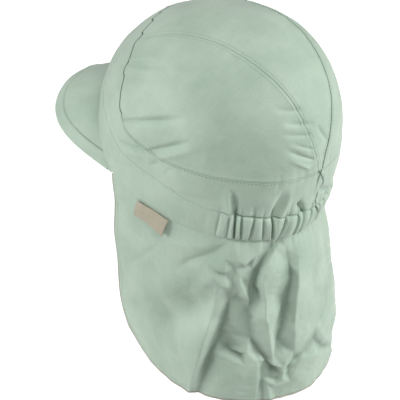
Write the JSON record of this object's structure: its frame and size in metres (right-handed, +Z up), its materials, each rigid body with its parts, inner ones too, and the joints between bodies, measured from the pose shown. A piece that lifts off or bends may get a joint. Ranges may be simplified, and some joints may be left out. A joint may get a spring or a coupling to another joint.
{
  "type": "legionnaire cap",
  "caption": "Soft child's sun cap with a short sloping peak, a strip-topped crown, a gathered elastic nape and a long rounded neck flap.",
  "frame": {"origin": "middle of the head opening at the rim's level, where the cap sits on a head", "axes": "+Z up towards the crown's top, -Y towards the peak, +X to the wearer's left; the cap is tipped back with its brow up, as it is worn in the picture"},
  "size_m": [0.1551, 0.2225, 0.272],
  "materials": {
    "sage_cotton": "fine plain-woven cotton with a slight sheen, tone-on-tone stitching, creased at seams and gathers",
    "edging_cotton": "narrow rolled edging, matt",
    "label_tape": "smooth woven tape, matt, blank"
  },
  "bodies": {
    "root": {"band": "sage_cotton", "top_panel": "sage_cotton", "side_panel_left": "sage_cotton", "side_panel_right": "sage_cotton", "peak": "sage_cotton", "neck_flap": "sage_cotton", "flap_edging": "edging_cotton", "label": "label_tape"}
  },
  "joints": []
}
